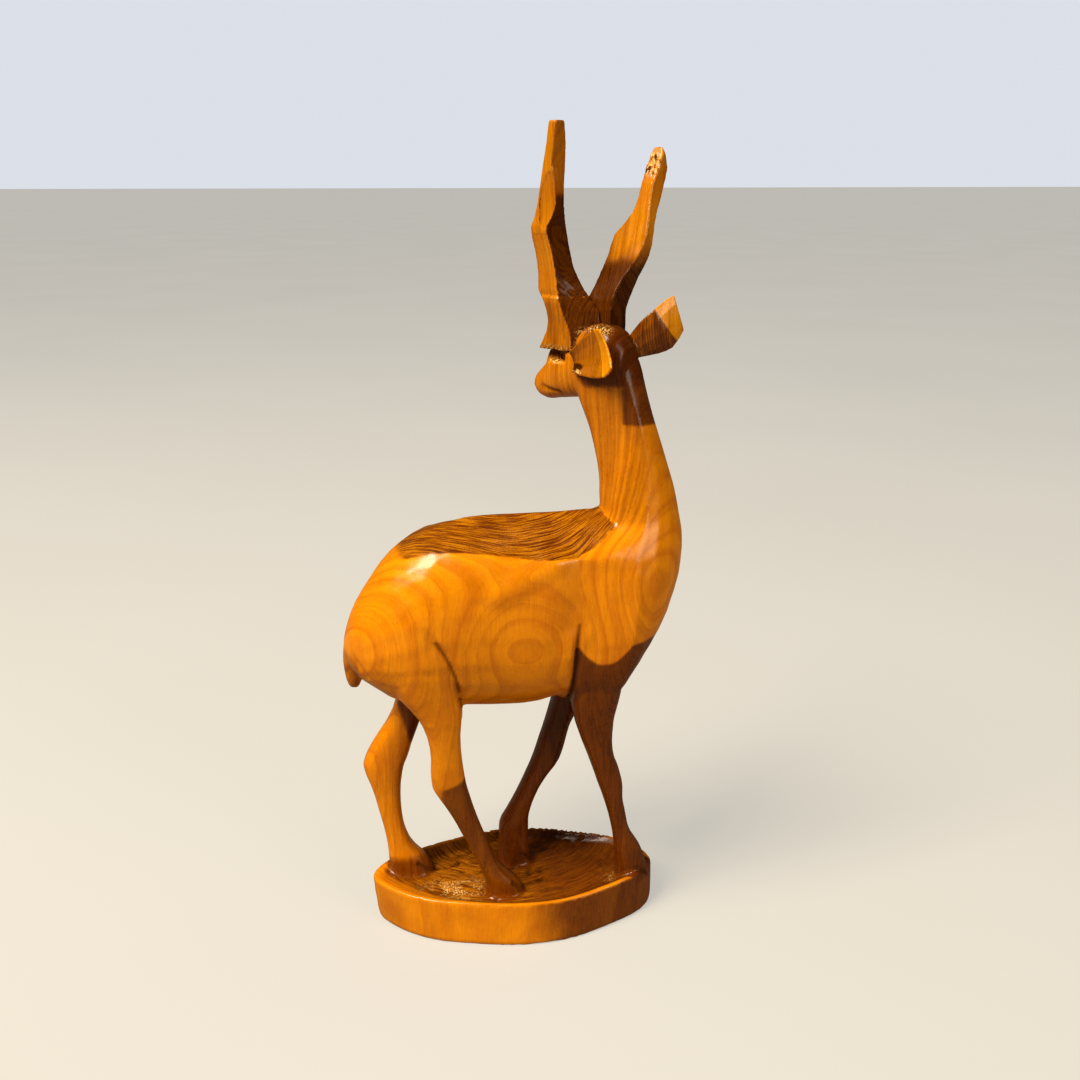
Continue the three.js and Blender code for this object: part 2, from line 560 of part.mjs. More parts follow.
// The tail: a short tab that hangs close against the rump.
const TAIL = [
  { z: 114, hind: -65, fore: -63, y: 0, wide: 3.4 },
  { z: 116, hind: -66.4, fore: -61.6, y: 0, wide: 6 },
  { z: 120, hind: -67.4, fore: -60.6, y: 0, wide: 8 },
  { z: 127, hind: -68, fore: -60, y: 0, wide: 9 },
  { z: 137, hind: -67, fore: -58, y: 0, wide: 9 },
];

// ---------------------------------------------------------------------------------------------
// Base: an uneven rounded slab whose sides lean, with a sunk top inside a low sloping rim.
const BASE_OUTLINE = [
  new THREE.Vector2(60.5, 2),
  new THREE.Vector2(50, 14),
  new THREE.Vector2(33, 22),
  new THREE.Vector2(14, 28.6),
  new THREE.Vector2(-4, 30),
  new THREE.Vector2(-22, 26.8),
  new THREE.Vector2(-40, 21.6),
  new THREE.Vector2(-55, 14.4),
  new THREE.Vector2(-61, 5.5),
  new THREE.Vector2(-55, -4.5),
  new THREE.Vector2(-41, -15.6),
  new THREE.Vector2(-22, -22.6),
  new THREE.Vector2(0, -27.6),
  new THREE.Vector2(20, -27.4),
  new THREE.Vector2(39, -22),
  new THREE.Vector2(56.4, -14),
  new THREE.Vector2(62, -7),
];
// Levels of the slab, from the table up: height, size of the outline there, and its shift.
const SLAB_LEVELS = [
  { z: 0, size: 0.95, dx: 0.6, dy: -2 },
  { z: 1.2, size: 0.975, dx: 0.6, dy: -1.8 },
  { z: 4, size: 0.985, dx: 0.6, dy: -1.4 },
  { z: 12, size: 0.995, dx: 0.3, dy: -0.6 },
  { z: BASE_HEIGHT - 0.6, size: 1, dx: 0, dy: 0 },
  { z: BASE_HEIGHT, size: 0.985, dx: 0, dy: 0 },
];
// Levels of the hollow cut into its top.
const HOLLOW_LEVELS = [
  { z: BASE_FLOOR, size: 0.78, dx: 3, dy: 2 },
  { z: BASE_FLOOR + 1.2, size: 0.86, dx: 2.2, dy: 1.4 },
  { z: BASE_HEIGHT + 0.4, size: 0.99, dx: 0.3, dy: 0.2 },
];

const BASE_POINTS = 68;

function baseShape(levels) {
  const corners = BASE_OUTLINE.map((p) => new THREE.Vector3(p.x, p.y, 0));
  const curve = new THREE.CatmullRomCurve3(corners, true, "centripetal");
  const outline = curve.getPoints(BASE_POINTS).slice(0, -1);
  return loft(levels, ({ z, size, dx, dy }) =>
    outline.map((p) => new THREE.Vector3(p.x * size + dx, p.y * size + dy, z)),
  );
}

function base() {
  return baseShape(SLAB_LEVELS).subtract(baseShape(HOLLOW_LEVELS));
}

// ---------------------------------------------------------------------------------------------
const hornRebates = [HORN_LEFT, HORN_RIGHT].map((stations) => placed(hornShaft(grown(stations, GLUE_GAP))));

// An ear, trimmed clear of the horn beside it.
function fittedEar(size, rebate) {
  return ear(size, 0).subtract(rebate);
}

function carvedBlock() {
  const pieces = [
    loft(between(TRUNK, RINGS.trunk), trunkRing),
    loft(between(NECK, RINGS.neck), neckRing),
    placed(loft(between(HEAD, RINGS.head), headRing)),
    loft(between(TAIL, RINGS.tail), legRing),
    leg(HIND_RIGHT),
    leg(HIND_LEFT),
    leg(FORE_RIGHT),
    leg(FORE_LEFT),
    base(),
  ];
  const cuts = [
    ...hornRebates,
    placed(hornPeg(PEG_LEFT, GLUE_GAP)),
    placed(hornPeg(PEG_RIGHT, GLUE_GAP)),
    placed(eyeCut(1)),
    placed(eyeCut(-1)),
    ear(EAR_LEFT, GLUE_GAP),
    ear(EAR_RIGHT, GLUE_GAP),
  ];
  const whole = pieces.reduce((body, piece) => body.add(piece));
  return cuts.reduce((body, cut) => body.subtract(cut), whole);
}

const statue = new THREE.Group();
statue.add(named("carved_body", carvedBlock(), 0xb5681d, 0.35));
statue.add(named("horn_left", placed(horn(HORN_LEFT, PEG_LEFT)), 0x9a4f16, 0.35));
statue.add(named("ear_left", fittedEar(EAR_LEFT, hornRebates[0]), 0xb0641e, 0.4));
statue.add(named("ear_right", fittedEar(EAR_RIGHT, hornRebates[1]), 0x8f4d18, 0.4));
statue.add(named("horn_right", placed(snappedHorn()), 0x8a4716, 0.4));

export default statue;
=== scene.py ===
"""A carved and varnished wooden antelope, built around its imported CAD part.

Each CAD node is remeshed into a fine even surface, faired and then carved in code: gouge marks,
broken edges, hoof clefts. One wood recipe, for one imagined log, makes a material for the block,
one for the horns and one for the ears.
Everything is in the part's frame; lengths in the code are in millimetres unless they say metres.
"""

import math
import random

import bpy
import numpy as np
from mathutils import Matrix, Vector, noise


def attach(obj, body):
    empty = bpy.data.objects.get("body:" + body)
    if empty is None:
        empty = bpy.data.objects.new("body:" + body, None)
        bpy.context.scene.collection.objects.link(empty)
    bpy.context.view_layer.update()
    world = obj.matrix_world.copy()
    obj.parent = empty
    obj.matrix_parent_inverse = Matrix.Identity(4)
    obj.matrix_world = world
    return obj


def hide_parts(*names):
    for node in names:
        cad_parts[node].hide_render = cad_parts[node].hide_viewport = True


MM = 0.001

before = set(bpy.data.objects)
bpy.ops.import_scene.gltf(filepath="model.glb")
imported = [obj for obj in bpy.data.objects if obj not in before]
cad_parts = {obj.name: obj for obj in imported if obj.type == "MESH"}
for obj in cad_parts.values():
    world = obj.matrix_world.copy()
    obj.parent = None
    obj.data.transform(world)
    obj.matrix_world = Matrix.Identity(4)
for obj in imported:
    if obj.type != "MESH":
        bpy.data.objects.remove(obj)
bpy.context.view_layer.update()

# The head's own frame: where it sits and how far it is turned back.
HEAD_AT = np.array([38.0, 2.0])
HEAD_TURN = math.radians(127)


def in_head(points):
    """Points of the part's frame in the head's: rows of s forward, t to its left, and z."""
    dx = points[:, 0] - HEAD_AT[0]
    dy = points[:, 1] - HEAD_AT[1]
    s = dx * math.cos(HEAD_TURN) + dy * math.sin(HEAD_TURN)
    t = dy * math.cos(HEAD_TURN) - dx * math.sin(HEAD_TURN)
    return np.stack([s, t, points[:, 2]], 1)


# ---------------------------------------------------------------------------------------------
# Fine meshes over the CAD nodes.


def remeshed(node, name, voxel):
    """A fine even mesh over a CAD node, as a new object; voxel is in millimetres."""
    piece = bpy.data.objects.new(name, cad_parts[node].data.copy())
    bpy.context.scene.collection.objects.link(piece)
    piece.data.materials.clear()
    modifier = piece.modifiers.new("remesh", "REMESH")
    modifier.mode = "VOXEL"
    modifier.voxel_size = voxel * MM
    bpy.context.view_layer.update()
    evaluated = piece.evaluated_get(bpy.context.evaluated_depsgraph_get())
    mesh = bpy.data.meshes.new_from_object(evaluated)
    piece.modifiers.clear()
    piece.data = mesh
    mesh.name = name
    mesh.shade_smooth()
    return piece


def points_of(mesh):
    """A mesh's points, in millimetres."""
    flat = np.empty(len(mesh.vertices) * 3, np.float32)
    mesh.vertices.foreach_get("co", flat)
    return flat.reshape(-1, 3).astype(float) / MM


def move_points(mesh, points):
    mesh.vertices.foreach_set("co", (points * MM).astype(np.float32).ravel())
    mesh.update()


def normals_of(mesh):
    flat = np.empty(len(mesh.vertices) * 3, np.float32)
    mesh.vertex_normals.foreach_get("vector", flat)
    return flat.reshape(-1, 3).astype(float)


def edges_of(mesh):
    flat = np.empty(len(mesh.edges) * 2, np.int32)
    mesh.edges.foreach_get("vertices", flat)
    return flat.reshape(-1, 2).T


def towards_neighbours(points, ends, weight):
    """How far each point is from the weighted middle of its neighbours."""
    first, second = ends
    offset = (points[second] - points[first]) * weight[:, None]
    count = len(points)
    total = np.bincount(first, weight, count) + np.bincount(second, weight, count) + 1e-6
    moved = np.empty_like(points)
    for axis in range(3):
        gained = np.bincount(first, offset[:, axis], count)
        lost = np.bincount(second, offset[:, axis], count)
        moved[:, axis] = (gained - lost) / total
    return moved


# How far each smoothing step pulls a point in, and how far the next one pushes it back out.
PULL_IN = 0.5
PUSH_OUT = 0.52


def fair(mesh, rounds, crease):
    """Smooths a mesh without shrinking it, and keeps ridges sharper than crease degrees."""
    points = points_of(mesh)
    ends = edges_of(mesh)
    limit = 1 - math.cos(math.radians(crease))
    for _ in range(rounds):
        move_points(mesh, points)
        facing = normals_of(mesh)
        turn = 1 - np.einsum("ij,ij->i", facing[ends[0]], facing[ends[1]])
        weight = np.exp(-((turn / limit) ** 2))
        points = points + PULL_IN * towards_neighbours(points, ends, weight)
        points = points - PUSH_OUT * towards_neighbours(points, ends, weight)
    move_points(mesh, points)


def soften(mesh, rounds, share):
    """Rounds off the places where share, one number for each point, is above 0."""
    points = points_of(mesh)
    ends = edges_of(mesh)
    even = np.ones(ends.shape[1])
    for _ in range(rounds):
        points = points + PULL_IN * share[:, None] * towards_neighbours(points, ends, even)
    move_points(mesh, points)


# ---------------------------------------------------------------------------------------------
# Shares: numbers from 0 to 1 that say where on a piece something happens.


def ramp(values, low, high):
    """0 below low, 1 above high, smooth between; low may be above high."""
    t = np.clip((values - low) / (high - low), 0, 1)
    return t * t * (3 - 2 * t)


def within(points, centre, reach):
    """1 at a centre, falling to 0 at an ellipsoid's surface."""
    away = np.linalg.norm((points - np.array(centre)) / np.array(reach), axis=1)
    return ramp(away, 1, 0)


def to_segment(points, start, end):
    """Each point's distance to a segment, and how far along it that is, from 0 to 1."""
    start = np.array(start, float)
    line = np.array(end, float) - start
    along = np.clip((points - start) @ line / (line @ line), 0, 1)
    return np.linalg.norm(points - start - along[:, None] * line, axis=1), along


def rough(points, size, seed):
    """Smooth noise between about -1 and 1, with lumps of the given size."""
    shift = Vector((seed * 7.3, seed * 3.1, seed * 5.7))
    return np.array([noise.noise(Vector(p) / size + shift) for p in points])


# ---------------------------------------------------------------------------------------------
# Carving.

# The base: its sunk top and its rim.
FLOOR_Z = 15.8
RIM_Z = 20

# How many gouge strokes cover the sunk top, the share of them round the hooves, and the deepest
# that strokes over one another may cut.
STROKES = 300
ROUND_HOOVES = 0.66
DEEPEST_CUT = 1.2

# Where each hoof meets the sunk top: its middle.
HOOVES = [(-6, -10.5), (-44, 11.5), (52, -9), (3, 11)]


def gouge(points, push, start, end, width, depth):
    """Adds one gouge stroke's depth at each point: shallow at its start, steep at its end."""
    away, along = to_segment(points, start, end)
    profile = np.clip(1 - (away / width) ** 2, 0, None)
    push += depth * profile * (0.3 + 0.7 * along)


def carve_floor(mesh):
    """Short gouge strokes over the sunk top of the base, crowded round the hooves.
    Gives back how deep each point of the mesh was cut."""
    points = points_of(mesh)
    facing = normals_of(mesh)
    low_and_level = (points[:, 2] > 14.5) & (points[:, 2] < 17.4) & (facing[:, 2] > 0.7)
    floor = np.flatnonzero(low_and_level)
    spots = points[floor]
    push = np.zeros(len(spots))
    picker = random.Random(4)
    for _ in range(STROKES):
        if picker.random() < ROUND_HOOVES:
            hx, hy = picker.choice(HOOVES)
            turn = picker.uniform(0, math.tau)
            reach = picker.uniform(6, 17)
            x = hx + 1.2 * reach * math.cos(turn)
            y = hy + 0.8 * reach * math.sin(turn)
            aim = turn + picker.uniform(-0.8, 0.8)
        else:
            x = picker.uniform(-52, 52)
            y = picker.uniform(-20, 22)
            aim = picker.gauss(0, 0.4)
        length = picker.uniform(3, 8)
        start = (x, y, FLOOR_Z)
        end = (x + length * math.cos(aim), y + length * math.sin(aim), FLOOR_Z)
        gouge(spots, push, start, end, picker.uniform(1.0, 2.0), picker.uniform(0.15, 0.6))
    push = np.clip(push, 0, DEEPEST_CUT)
    points[floor] = spots - facing[floor] * push[:, None]
    move_points(mesh, points)
    cut = np.zeros(len(points))
    cut[floor] = push
    return cut


def groove(points, facing, path, width, depth, shelf=0.0):
    """Presses a crease along a path into the surface; shelf lifts the ground on one side of it."""
    nearest = np.full(len(points), 1e9)
    side = np.zeros(len(points))
    fade = np.zeros(len(points))
    legs = list(zip(path[:-1], path[1:]))
    for i, (start, end) in enumerate(legs):
        away, along = to_segment(points, start, end)
        line = np.array(end, float) - np.array(start, float)
        across = np.cross(line / np.linalg.norm(line), np.array([0, -1.0, 0]))
        closer = away < nearest
        nearest = np.where(closer, away, nearest)
        side = np.where(closer, (points - np.array(start)) @ across, side)
        fade = np.where(closer, (i + along) / len(legs), fade)
    ends = ramp(fade, 0, 0.2)
    facing_out = ramp(facing[:, 1], 0.3, -0.1)
    press = -depth * np.exp(-((nearest / width) ** 2))
    swell = shelf * ramp(side, 0, 1.5) * ramp(nearest, 3 * width + 5, 0)
    return facing * ((press + swell) * ends * facing_out)[:, None]


# The crease in front of the near thigh and the one behind the near shoulder.
THIGH_CREASE = [
    (-37, -25, 150),
    (-32.7, -25.8, 141.4),
    (-30.1, -25.6, 136.9),
    (-27.5, -25.2, 131.4),
    (-25.2, -23.4, 124.8),
    (-23.4, -20, 116.9),
    (-22.4, -16, 108),
]
SHOULDER_CREASE = [
    (24, -24.5, 144),
    (23, -23.8, 133.6),
    (22.5, -22.9, 126.7),
    (22.1, -21.1, 119.3),
    (22.1, -17.7, 112.3),
    (22.1, -12, 107),
]
# The crease under the root of the tail.
TAIL_CREASE = [(-64.6, -9.6, 134), (-62.6, -12.7, 130.5), (-60.9, -13.9, 127.9), (-59, -14, 124)]

# The soft ridge down the flank from the withers, and the hollow between flank and shoulder.
FLANK_RIDGE = [(16, -21.6, 171.5), (6.2, -23.8, 166.4), (-1.7, -24.3, 161.8), (-8, -24.4, 159)]
SHOULDER_VALLEY = [(25, -20, 170), (24, -23, 158), (23, -24, 146)]

# The cleft between the two toes of each hoof.
CLEFTS = [
    [(-2, -15.5, 22), (3, -14.5, 18), (4.5, -12, 16)],
    [(53, -15, 22), (57, -13, 18.5), (58.5, -11, 16)],
    [(-41, 6.5, 22), (-37.5, 7.5, 18.5), (-36, 9.5, 16)],
    [(5, 6, 22), (9.5, 7.5, 18.5), (10.5, 9.5, 16)],
]

# The mouth line, on the left of the face.
MOUTH = [(17, 19, 231), (18.4, 16.7, 230.5), (22.8, 10.2, 230)]


def along_path(points, path, width):
    """1 on a path, falling to 0 at a width from it."""
    nearest = np.full(len(points), 1e9)
    for start, end in zip(path[:-1], path[1:]):
        nearest = np.minimum(nearest, to_segment(points, start, end)[0])
    return ramp(nearest, width, 0)


def from_side(points, path, width):
    """The same as along_path, for the path as it looks from the animal's side."""
    flat = [(x, 0, z) for x, _, z in path]
    return along_path(points * (1, 0, 1), flat, width)


def carve_body(mesh):
    points = points_of(mesh)
    facing = normals_of(mesh)
    wave = 0.14 * rough(points, 14, 1) + 0.06 * rough(points, 5, 2)
    points += facing * (wave * ramp(points[:, 2], 0.5, 6))[:, None]
    points += groove(points, facing, THIGH_CREASE, 1.1, 1.6, -1.6)
    points += groove(points, facing, SHOULDER_CREASE, 1.3, 1.5, 1.0)
    points += groove(points, facing, TAIL_CREASE, 0.8, 0.7)
    points += facing * (0.9 * along_path(points, FLANK_RIDGE, 8))[:, None]
    points -= facing * (0.9 * along_path(points, SHOULDER_VALLEY, 11))[:, None]
    points -= facing * (0.8 * along_path(points, MOUTH, 1.4))[:, None]
    for cleft in CLEFTS:
        points -= facing * (0.9 * along_path(points, cleft, 1.3))[:, None]
    move_points(mesh, points)


def crumble(mesh, share, depth, size, seed):
    """Breaks the surface up into crumbs, as far as share says at each point."""
    points = points_of(mesh)
    facing = normals_of(mesh)
    lumps = rough(points, size, seed) + 0.6 * rough(points, 0.5 * size, seed + 1)
    points += facing * (depth * lumps * share)[:, None]
    move_points(mesh, points)


def fan_cuts(mesh):
    """Knife cuts that fan out down the outer side of the left horn's foot."""
    points = points_of(mesh)
    facing = normals_of(mesh)
    s, t, z = in_head(points).T
    turn = np.arctan2(s - 18, 274 - z)
    outer = ramp(t, 6, 9)
    low = ramp(z, 266, 258) * outer
    ridge = np.abs(np.sin(turn * 11 + 1.3 * rough(points, 9, 3)))
    fine = rough(np.stack([turn * 40, z * 0.12, t * 0], 1), 1, 4)
    points -= facing * (low * (0.38 * (1 - ridge) ** 2 + 0.12 * fine))[:, None]
    move_points(mesh, points)


# ---------------------------------------------------------------------------------------------
# The wood.


def linear(red, green, blue):
    """A colour given as it looks on a screen, 0 to 255, as scene-linear RGBA."""
    out = []
    for value in (red, green, blue):
        c = value / 255
        out.append(c / 12.92 if c <= 0.04045 else ((c + 0.055) / 1.055) ** 2.4)
    return (*out, 1)


class Shader:
    """Builds one material, with a short call for each kind of node."""

    def __init__(self, name):
        self.material = bpy.data.materials.new(name)
        self.material.use_nodes = True
        self.tree = self.material.node_tree
        self.tree.nodes.clear()

    def node(self, kind, inputs, **settings):
        node = self.tree.nodes.new(kind)
        for key, value in settings.items():
            setattr(node, key, value)
        for key, value in inputs.items():
            self.feed(node.inputs[key], value)
        return node

    def feed(self, socket, value):
        if isinstance(value, bpy.types.NodeSocket):
            self.tree.links.new(value, socket)
        else:
            socket.default_value = value

    def math(self, operation, a, b=0.0, clamp=False):
        inputs = {0: a, 1: b}
        return self.node("ShaderNodeMath", inputs, operation=operation, use_clamp=clamp).outputs[0]

    def vector(self, operation, a, b):
        return self.node("ShaderNodeVectorMath", {0: a, 1: b}, operation=operation).outputs[0]

    def noise(self, place, scale, detail=2.0, roughness=0.5):
        inputs = {"Vector": place, "Scale": scale, "Detail": detail, "Roughness": roughness}
        return self.node("ShaderNodeTexNoise", inputs).outputs["Fac"]

    def range(self, value, low, high, out_low=0.0, out_high=1.0):
        inputs = {0: value, 1: low, 2: high, 3: out_low, 4: out_high}
        node = self.node("ShaderNodeMapRange", inputs, interpolation_type="SMOOTHSTEP")
        return node.outputs[0]

    def mix(self, share, a, b, blend="MIX"):
        node = self.node("ShaderNodeMix", {0: share}, data_type="RGBA", blend_type=blend)
        self.feed(node.inputs[6], a)
        self.feed(node.inputs[7], b)
        return node.outputs[2]

    def combine(self, x, y, z):
        return self.node("ShaderNodeCombineXYZ", {0: x, 1: y, 2: z}).outputs[0]

    def attribute(self, name):
        return self.node("ShaderNodeAttribute", {}, attribute_name=name).outputs["Fac"]


# The log: x and y of its upright pith, which lies outside the block, to the animal's left.
PITH = (2, 46)
RING_GAP = 3.1

# Places where the rings bulge, so that the carved flank cuts them into nested ovals:
# x, z, half width, half height and how far they bulge.
BULGES = [(2, 137, 33, 20, -11), (50, 158, 20, 26, 8), (-72, 138, 22, 27, 8)]

SAP_LIGHT = linear(229, 141, 4)
SAP_DARK = linear(210, 121, 3)
RING_LINE = linear(172, 86, 2)
HEART_AND_SHADE_DARK = linear(70, 26, 2)
HEART_AND_SHADE_MID = linear(120, 60, 3)
HEART_GOLD = linear(204, 130, 12)
PORE = linear(58, 18, 2)
STAIN_AND_SHADE_COLOUR = linear(26, 9, 2)
RAW_WOOD = linear(232, 190, 118)


def ring_radius(sh, spot, split):
    """The distance from the pith, in millimetres, uneven as a real log is; and the angle."""
    slow = sh.vector("MULTIPLY", spot, (0.03, 0.03, 0.012))
    bend = sh.node("ShaderNodeTexNoise", {"Vector": slow, "Scale": 1.0, "Detail": 1.5})
    swing = sh.vector("SUBTRACT", bend.outputs["Color"], (0.5, 0.5, 0.5))
    apart = sh.node("ShaderNodeSeparateXYZ", {0: swing}).outputs
    x = sh.math("ADD", split[0], sh.math("MULTIPLY", apart[0], 6.0))
    y = sh.math("ADD", split[1], sh.math("MULTIPLY", apart[1], 5.0))
    x = sh.math("SUBTRACT", x, PITH[0])
    y = sh.math("SUBTRACT", y, PITH[1])
    squares = sh.math("ADD", sh.math("MULTIPLY", x, x), sh.math("MULTIPLY", y, y))
    radius = sh.math("SQRT", squares)
    for bulge_x, bulge_z, half_width, half_height, bulge in BULGES:
        u = sh.math("DIVIDE", sh.math("SUBTRACT", split[0], bulge_x), half_width)
        v = sh.math("DIVIDE", sh.math("SUBTRACT", split[2], bulge_z), half_height)
        away = sh.math("ADD", sh.math("MULTIPLY", u, u), sh.math("MULTIPLY", v, v))
        hill = sh.math("EXPONENT", sh.math("MULTIPLY", away, -1.0))
        radius = sh.math("ADD", radius, sh.math("MULTIPLY", hill, bulge))
    return radius, sh.math("ARCTAN2", y, x)


def wood(name, sap=(SAP_LIGHT, SAP_DARK)):
    """Varnished wood with growth rings round a vertical pith, dark heart and pale sapwood. Its dark
    colours also paint shade and cast shadows wherever the mesh marks them.
    """
    sh = Shader(name)
    place = sh.node("ShaderNodeTexCoord", {}).outputs["Object"]
    spot = sh.vector("MULTIPLY", place, (1 / MM, 1 / MM, 1 / MM))
    split = sh.node("ShaderNodeSeparateXYZ", {0: spot}).outputs
    radius, angle = ring_radius(sh, spot, split)
    # Layers: noise that runs far round the rings and along the log, and changes fast across them.
    sheet = sh.combine(radius, sh.math("MULTIPLY", angle, 2.0), sh.math("MULTIPLY", split[2], 0.03))
    layers = sh.noise(sheet, 0.6, 4.0, 0.6)
    fine_layers = sh.noise(sheet, 2.4, 3.0, 0.6)
    broad = sh.noise(sheet, 0.12, 2.0, 0.5)
    # One growth ring: slowly darker outwards, then a quick step back to pale.
    phase = sh.math("DIVIDE", sh.math("ADD", radius, sh.math("MULTIPLY", broad, 4.0)), RING_GAP)
    late = sh.math("POWER", sh.math("FRACT", phase), 4.0)
    # Fibres and pores run up the log.
    fibres = sh.noise(sh.vector("MULTIPLY", spot, (1.6, 1.6, 0.09)), 1.0, 4.0, 0.6)
    flecks = sh.noise(sh.vector("MULTIPLY", spot, (3.4, 3.4, 0.45)), 1.0, 1.5, 0.5)
    pores = sh.range(flecks, 0.6, 0.72)
    patch = sh.noise(spot, 0.05, 3.0, 0.55)

    pale = sh.mix(sh.range(layers, 0.35, 0.75), *sap)
    pale = sh.mix(sh.math("MULTIPLY", late, 0.34), pale, RING_LINE)
    pale = sh.mix(sh.range(patch, 0.45, 0.75, 0.0, 0.35), pale, RING_LINE)
    figure = sh.attribute("figure")
    streaks = sh.range(fine_layers, 0.38, 0.56, 0.55, 1.0)
    plain = sh.mix(streaks, HEART_AND_SHADE_DARK, HEART_AND_SHADE_MID)
    streaked = sh.mix(sh.range(fine_layers, 0.3, 0.46, 0.3, 1.0), HEART_AND_SHADE_DARK, HEART_AND_SHADE_MID)
    streaked = sh.mix(sh.range(fine_layers, 0.42, 0.62, 0.0, 0.9), streaked, HEART_GOLD)
    dark = sh.mix(figure, plain, streaked)
    ragged = sh.math("MULTIPLY", sh.math("SUBTRACT", layers, 0.5), 0.5)
    # The dark share is dark heartwood in some places, and painted shade or painted shadow in
    # others.
    share = sh.range(sh.math("ADD", sh.attribute("dark_wood_and_shade"), ragged), 0.1, 0.9)
    colour = sh.mix(share, pale, dark)
    lowest = sh.range(share, 0, 1, 0.88, 0.74)
    grainy = sh.node("ShaderNodeMapRange", {0: fibres, 1: 0.3, 2: 0.72, 3: lowest, 4: 1.08})
    tone = grainy.outputs[0]
    colour = sh.mix(1.0, colour, sh.combine(tone, tone, tone), "MULTIPLY")
    colour = sh.mix(sh.math("MULTIPLY", pores, sh.range(share, 0, 1, 0.2, 0.6)), colour, PORE)
    # Marks set on the mesh: stain held in cuts, painted shade in creases, gaps and shadowed places,
    # and raw pale crumbs along glue lines.
    crumbs = sh.range(sh.noise(spot, 1.3, 3.0, 0.7), 0.5, 0.58)
    raw = sh.math("MULTIPLY", sh.attribute("raw"), crumbs, clamp=True)
    stain_and_shade = sh.attribute("stain_and_shade")
    colour = sh.mix(sh.math("MULTIPLY", stain_and_shade, 0.85), colour, STAIN_AND_SHADE_COLOUR)
    colour = sh.mix(raw, colour, RAW_WOOD)

    height = sh.math("ADD", sh.math("MULTIPLY", fibres, 0.6), sh.math("MULTIPLY", pores, -0.7))
    bump = sh.node("ShaderNodeBump", {"Strength": 0.35, "Distance": 0.12 * MM, "Height": height})
    brush = sh.noise(spot, 0.16, 3.0, 0.6)
    coat_height = sh.math("ADD", brush, sh.math("MULTIPLY", fibres, 0.12))
    coat_inputs = {"Strength": 0.25, "Distance": 0.4 * MM, "Height": coat_height}
    coat = sh.node("ShaderNodeBump", coat_inputs)
    dull = sh.math("ADD", sh.math("MULTIPLY", raw, 0.9), sh.math("MULTIPLY", stain_and_shade, 0.8))
    inputs = {
        "Base Color": colour,
        "Roughness": sh.range(fibres, 0.3, 0.7, 0.42, 0.6),
        "Specular IOR Level": 0.0,
        "Normal": bump.outputs[0],
        "Coat Weight": sh.math("MULTIPLY", sh.math("SUBTRACT", 1.0, dull, clamp=True), 0.75),
        "Coat Roughness": sh.range(brush, 0.3, 0.75, 0.17, 0.32),
        "Coat Normal": coat.outputs[0],
    }
    surface = sh.node("ShaderNodeBsdfPrincipled", inputs)
    sh.node("ShaderNodeOutputMaterial", {"Surface": surface.outputs[0]})
    return sh.material


def mark(mesh, name, share):
    """Stores one number for each point, for the material to read."""
    layer = mesh.attributes.new(name, "FLOAT", "POINT")
    layer.data.foreach_set("value", np.clip(share, 0, 1).astype(np.float32))


def finish_piece(piece, node, material):
    piece.data.materials.append(material)
    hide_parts(node)
    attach(piece, "root")


# ---------------------------------------------------------------------------------------------
# The pieces.

# The grid that each kind of piece is remeshed on.
BODY_VOXEL = 0.85
HORN_VOXEL = 0.5
EAR_VOXEL = 0.35


def on_hooves(points):
    """1 above the base and over each hoof, 0 on the base round them."""
    x, y, z = points.T
    share = ramp(z, RIM_Z, RIM_Z + 2)
    for hx, hy in HOOVES:
        near = ramp(np.hypot((x - hx) / 1.25, y - hy), 9.5, 7.5) * ramp(z, 14.6, 15.4)
        share = np.maximum(share, near)
    return share


def dark_areas(points):
    """How much dark wood and painted shade show at each point of the block: dark heartwood, and
    painted shadows where other parts shade it.
    """
    x, y, z = points.T
    foot = on_hooves(points)
    s = in_head(points)[:, 0]
    # Away from the near side the edges of the dark areas wander with the grain.
    wander = 5 * rough(points, 16, 31) * ramp(y, -14, -2)
    # The pale lobe of the shoulder ends in a curve, and the forelegs are dark below it: dark wood
    # and a painted shadow of the body.
    lobe = 126 + np.clip(0.07 * (x - 35) ** 2, 0, 8) + wander
    behind = np.where(y < 2, 21, 0.35 * z - 19)
    forelegs = 0.85 * ramp(z - lobe, 1.2, -1.2) * ramp(x - behind, 0, 2) * foot
    forelegs *= 1 + 0.15 * ramp(y, 0, 5)
    # The near hind leg below the hock: dark wood and a painted shadow of the thigh.
    hind_foot = 0.75 * ramp(z - 0.35 * (x + 25), 76, 73) * ramp(y, 3, 0) * ramp(x, -34, -30)
    hind_foot *= ramp(x, 20, 10) * foot
    far_hoof = 0.7 * ramp(z, 30, 23) * ramp(x, -28, -31) * ramp(y, 2, 4) * foot
    # Painted shadow of the near hind leg on the inner side of the far hind leg.
    hind_inside = 0.8 * ramp(x + 0.25 * (z - 95), -47, -44) * ramp(y, -1, 2) * ramp(x, -12, -20)
    hind_inside *= ramp(z, 76, 84) * ramp(z, 112, 106)
    # The base's side darkens to the right: dark wood and a painted shadow of the body.
    base_side = 0.75 * ramp(z, RIM_Z, 18.5) * ramp(x + 0.2 * z + 3 * rough(points, 12, 21), -8, 26)
    base_side += 0.35 * ramp(z, RIM_Z, 18.5) * ramp(x, -42, -52)
    tail = 0.5 * ramp(x, -61, -63) * ramp(z, 136, 130)
    # The crown is dark wood with painted shade from the ears and horns, and the front of the neck
    # just under the head carries a painted shadow of the head.
    crown = ramp(z + wander, 231, 236) * ramp(s, 6, 0)
    nape = 0.8 * ramp(z + wander, 218.5, 220.5) * ramp(s, -10.5, -12.5)
    parts = [forelegs, hind_foot, far_hoof, hind_inside, base_side, tail, crown, nape]
    return np.maximum.reduce(parts)


